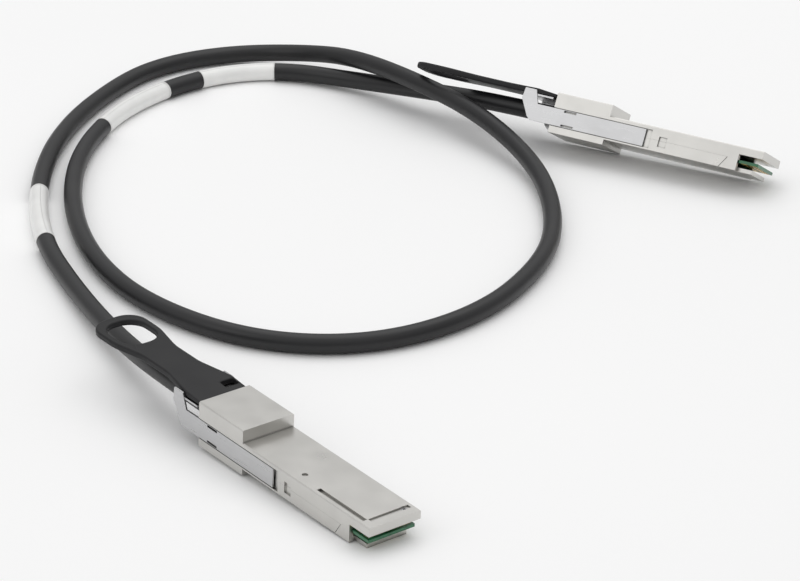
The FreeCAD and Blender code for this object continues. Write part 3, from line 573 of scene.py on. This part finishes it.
class CABLE_OT_springs(bpy.types.Operator):
    """Winds the return springs at their rest length, in each head"""

    bl_idname = "cable.springs"
    bl_label = "Return Springs"

    def execute(self, context):
        steel = grained("Spring Wire", (0.52, 0.52, 0.53), (0.22, 0.36), shade=(0.8, 1.1), grain=9000.0,
                        patch=1500.0, bump=0.1, depth=0.000004, metallic=1.0)
        length = sizes().spring_length
        for end in ENDS:
            plug = plug_place(end)
            for side, across in SPRING_SIDES:
                place = plug @ Matrix.Translation((SPRING_BACK, across, SPRING_UP))
                spring = coil_mesh(end + "_spring_" + side, place, length, sizes().spring_radius,
                                   sizes().spring_wire, steel)
                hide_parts(end + "_return_springs")
                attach(spring, ROOT)
                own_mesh(spring)
        return {"FINISHED"}


class CABLE_OT_latches(bpy.types.Operator):
    """Finishes the sliders and pull tabs"""

    bl_idname = "cable.latches"
    bl_label = "Latches"

    def execute(self, context):
        rubber = grained("Moulded Tab", colours().tab, (0.46, 0.60), shade=(0.85, 1.3), grain=2200.0,
                         patch=70.0, bump=0.35, depth=0.00003, Specular_IOR_Level=0.35)
        for end in ENDS:
            sheet = handled(drawn("Stainless Sheet " + end, colours().sheet, (0.22, 0.36),
                                  math.radians(PLUGS[end][1][0])))
            # painted shade in the slider's corners and seams
            paint_corner_shade(sheet, 0.0010)
            dress(end + "_latch_slider", sheet, sizes().edge_round)
            dress(end + "_pull_tab", rubber, sizes().tab_round, flat=False)
        return {"FINISHED"}


class CABLE_OT_insides(bpy.types.Operator):
    """Finishes the card, its pads and chip, the wires and what holds them"""

    bl_idname = "cable.insides"
    bl_label = "Card and Wires"

    def execute(self, context):
        board = grained("Solder Mask", (0.02, 0.14, 0.06), (0.25, 0.4), shade=(0.7, 1.3), grain=1500.0,
                        patch=500.0, bump=0.1, depth=0.00001, Coat_Weight=0.3, Coat_Roughness=0.15)
        gold = grained("Gold Plate", (0.83, 0.60, 0.22), (0.18, 0.3), shade=(0.92, 1.05), grain=3000.0,
                       patch=600.0, bump=0.05, depth=0.000005, metallic=1.0)
        resin = grained("Chip Resin", (0.03, 0.03, 0.03), (0.45, 0.6), grain=5000.0, patch=300.0)
        wires = grained("Wire Insulation", (0.45, 0.47, 0.52), (0.3, 0.45), grain=2500.0, patch=200.0)
        clamp = grained("Clamp Resin", (0.08, 0.08, 0.08), (0.45, 0.6), grain=2500.0, patch=150.0)
        crimp = grained("Crimped Brass", (0.60, 0.54, 0.42), (0.3, 0.45), grain=2500.0, patch=150.0,
                        metallic=1.0)
        screw = grained("Plated Screw", (0.42, 0.42, 0.43), (0.22, 0.36), grain=6000.0, patch=900.0,
                        metallic=1.0)
        for end in ENDS:
            for piece, item in (("paddle_card", board), ("contact_pads", gold), ("memory_chip", resin),
                                ("wire_pairs", wires), ("wire_clamp", clamp), ("crimp_ring", crimp),
                                ("cover_screw", screw)):
                dress(end + "_" + piece, item)
        return {"FINISHED"}


# ------------------------------------------------------------------ studio
class CABLE_OT_studio(bpy.types.Operator):
    """Sets the floor, the lamps, the world and the camera"""

    bl_idname = "cable.studio"
    bl_label = "Studio"

    def execute(self, context):
        scene = context.scene
        pale = grained("Studio Floor", colours().floor, (0.55, 0.7), shade=(0.99, 1.01), grain=300.0,
                       patch=3.0, bump=0.02, depth=0.0001)
        corners = [(-4, -4, 0), (4, -4, 0), (4, 6, 0), (-4, 6, 0)]
        floor = mesh_object("studio_floor", corners, [(0, 1, 2, 3)], pale)
        scene.world = self.soft_dome()
        for name, place, size, power in LAMPS:
            data = bpy.data.lights.new(name, "AREA")
            data.shape = "SQUARE"
            data.size = size
            data.energy = power
            lamp = bpy.data.objects.new(name, data)
            lamp.location = place
            lamp.rotation_euler = (-Vector(place)).to_track_quat("-Z", "Y").to_euler()
            scene.collection.objects.link(lamp)
        scene.view_settings.view_transform = "Standard"
        self.place_camera(scene)
        return {"FINISHED"}

    def soft_dome(self):
        """An even sky that is a little brighter overhead than near the floor."""
        world = bpy.data.worlds.new("Studio World")
        world.use_nodes = True
        tree = world.node_tree
        sky = tree.nodes["Background"]
        sky.inputs["Color"].default_value = (1.0, 1.0, 1.0, 1.0)
        look = add(tree, "ShaderNodeTexCoord", (-700, 0))
        split = add(tree, "ShaderNodeSeparateXYZ", (-500, 0))
        level = add(tree, "ShaderNodeMapRange", (-300, 0))
        level.inputs["To Min"].default_value = SKY_LOW
        level.inputs["To Max"].default_value = SKY_HIGH
        wire(tree, (look.outputs["Generated"], split.inputs["Vector"]),
             (split.outputs["Z"], level.inputs["Value"]),
             (level.outputs["Result"], sky.inputs["Strength"]))
        return world

    def place_camera(self, scene):
        """A long lens a little over a metre away, looking down at the loop."""
        right = Vector((1, 0, 0))
        back = Vector((0, -math.cos(CAMERA_ELEVATION), math.sin(CAMERA_ELEVATION)))
        up = back.cross(right)
        across = right * math.cos(CAMERA_ROLL) + up * math.sin(CAMERA_ROLL)
        above = up * math.cos(CAMERA_ROLL) - right * math.sin(CAMERA_ROLL)
        data = bpy.data.cameras.new("Camera")
        data.sensor_width = CAMERA_SENSOR
        data.lens = CAMERA_LENS
        data.clip_start = CAMERA_CLIP
        camera = bpy.data.objects.new("Camera", data)
        place = Matrix((across, above, back)).transposed().to_4x4()
        place.translation = CAMERA_TARGET + back * CAMERA_DISTANCE
        camera.matrix_world = place
        scene.collection.objects.link(camera)
        scene.camera = camera


class CABLE_PT_panel(bpy.types.Panel):
    """Lists the steps, sizes and colours"""

    bl_label = "Direct Attach Cable"
    bl_idname = "CABLE_PT_panel"
    bl_space_type = "VIEW_3D"
    bl_region_type = "UI"
    bl_category = "Cable"

    def draw(self, context):
        layout = self.layout
        for group in (context.scene.cable_sizes, context.scene.cable_colours):
            for key in group.__annotations__:
                layout.prop(group, key)
        for step in STEPS:
            layout.operator(step.bl_idname)


STEPS = (CABLE_OT_jacket, CABLE_OT_labels, CABLE_OT_shells, CABLE_OT_latches, CABLE_OT_springs,
         CABLE_OT_insides, CABLE_OT_studio)
CLASSES = (CableSizes, CableColours) + STEPS + (CABLE_PT_panel,)


def register():
    for item in CLASSES:
        bpy.utils.register_class(item)
    bpy.types.Scene.cable_sizes = PointerProperty(type=CableSizes)
    bpy.types.Scene.cable_colours = PointerProperty(type=CableColours)


def unregister():
    del bpy.types.Scene.cable_colours
    del bpy.types.Scene.cable_sizes
    for item in reversed(CLASSES):
        bpy.utils.unregister_class(item)


def main():
    """Builds the whole scene."""
    register()
    bpy.ops.cable.jacket()
    bpy.ops.cable.labels()
    bpy.ops.cable.shells()
    bpy.ops.cable.latches()
    bpy.ops.cable.springs()
    bpy.ops.cable.insides()
    bpy.ops.cable.studio()


if __name__ == "__main__":
    main()
